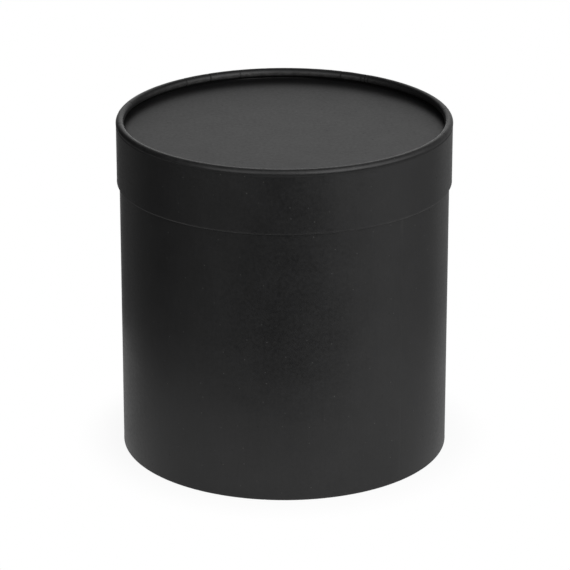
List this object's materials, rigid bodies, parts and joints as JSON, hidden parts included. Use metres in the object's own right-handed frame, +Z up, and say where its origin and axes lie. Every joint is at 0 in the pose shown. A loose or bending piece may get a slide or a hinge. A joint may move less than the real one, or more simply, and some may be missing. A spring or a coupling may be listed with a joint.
{
  "type": "round gift box",
  "caption": "Round paper-covered board box with a push-on lid whose top edge is rolled inward over a recessed disc.",
  "frame": {"origin": "centre of the underside, on the surface that the box stands on", "axes": "+Z up along the axis of the round box, -Y towards the front of the picture, +X to its right"},
  "size_m": [0.1832, 0.1832, 0.1877],
  "materials": {
    "cover_paper": "matte black cover paper with a faint sheen at low angles",
    "lining_paper": "matte black uncoated lining paper",
    "greyboard": "raw wound greyboard"
  },
  "bodies": {
    "base": {"base_tube": "greyboard", "base_wrap": "cover_paper", "base_liner": "lining_paper", "base_disc": "greyboard", "base_floor_paper": "lining_paper", "base_underside_paper": "cover_paper"},
    "lid": {"lid_tube": "greyboard", "lid_wrap": "cover_paper", "lid_liner": "lining_paper", "lid_disc": "greyboard", "lid_disc_cover": "cover_paper", "lid_disc_lining": "lining_paper"}
  },
  "joints": [
    {"name": "lid_lift", "type": "slide", "parent": "base", "child": "lid", "axis": [0, 0, 1], "range_m": [0, 0.1]}
  ]
}
